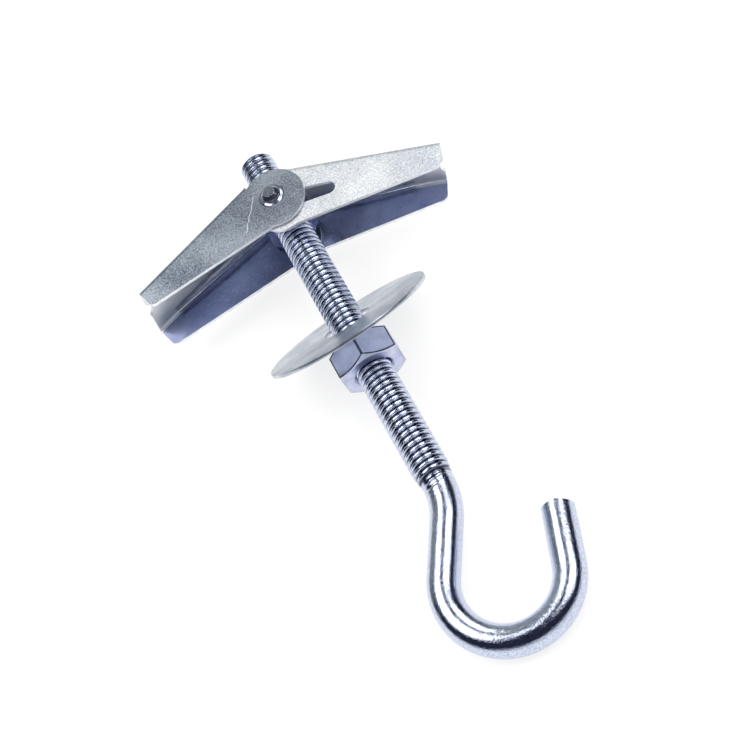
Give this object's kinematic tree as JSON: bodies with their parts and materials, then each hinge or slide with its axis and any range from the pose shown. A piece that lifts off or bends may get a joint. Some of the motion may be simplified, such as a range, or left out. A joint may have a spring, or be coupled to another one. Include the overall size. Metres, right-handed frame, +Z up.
{
  "type": "spring toggle bolt",
  "caption": "Hook on a threaded rod with a sprung folding toggle, a wide washer and a hex nut, for hanging a load from a hollow wall or ceiling.",
  "frame": {"origin": "on the table, under the middle of the whole outline", "axes": "+Y towards the toggle end of the bolt, +X towards the right wing, +Z up"},
  "size_m": [0.0556, 0.0972, 0.0209],
  "materials": {
    "wire_steel": "bright zinc plated drawn wire with a rolled thread",
    "nut_steel": "satin zinc plated",
    "washer_steel": "dull zinc plated strip",
    "turned_steel": "turned steel, zinc plated",
    "spring_steel": "bright spring wire",
    "sheet_steel": "zinc plated sheet with a fine mottled grain outside and a smooth darker inside"
  },
  "bodies": {
    "bolt": {"hook_bolt": "wire_steel"},
    "washer": {"washer": "washer_steel"},
    "nut": {"hex_nut": "nut_steel"},
    "toggle": {"trunnion": "turned_steel", "spring": "spring_steel"},
    "left_wing": {"wing_left": "sheet_steel"},
    "right_wing": {"wing_right": "sheet_steel"}
  },
  "joints": [
    {"name": "washer_travel", "type": "slide", "parent": "bolt", "child": "washer", "axis": [0, 0.9919, 0.1272], "range_m": [-0.0209, 0]},
    {"name": "nut_turn", "type": "hinge", "parent": "washer", "child": "nut", "pos_m": [0.00044, 0.00731, 0.00937], "axis": [0, 0.9919, 0.1272], "range_deg": [-7524, 0]},
    {"name": "toggle_travel", "type": "slide", "parent": "bolt", "child": "toggle", "axis": [0, 0.9919, 0.1272], "range_m": [0, 0.007]},
    {"name": "left_fold", "type": "hinge", "parent": "toggle", "child": "left_wing", "pos_m": [0.00044, 0.0362, 0.01308], "axis": [0, -0.1272, 0.9919], "range_deg": [-3, 39], "stiffness_Nm_per_rad": 0.05, "deforming": ["spring"]},
    {"name": "right_fold", "type": "hinge", "parent": "toggle", "child": "right_wing", "pos_m": [0.00044, 0.0362, 0.01308], "axis": [0, 0.1272, -0.9919], "range_deg": [-13, 31], "stiffness_Nm_per_rad": 0.05, "deforming": ["spring"]}
  ],
  "couplings": [
    {"joint": "nut_turn", "follows": "washer_travel", "rad_per_m": 6283.2}
  ]
}
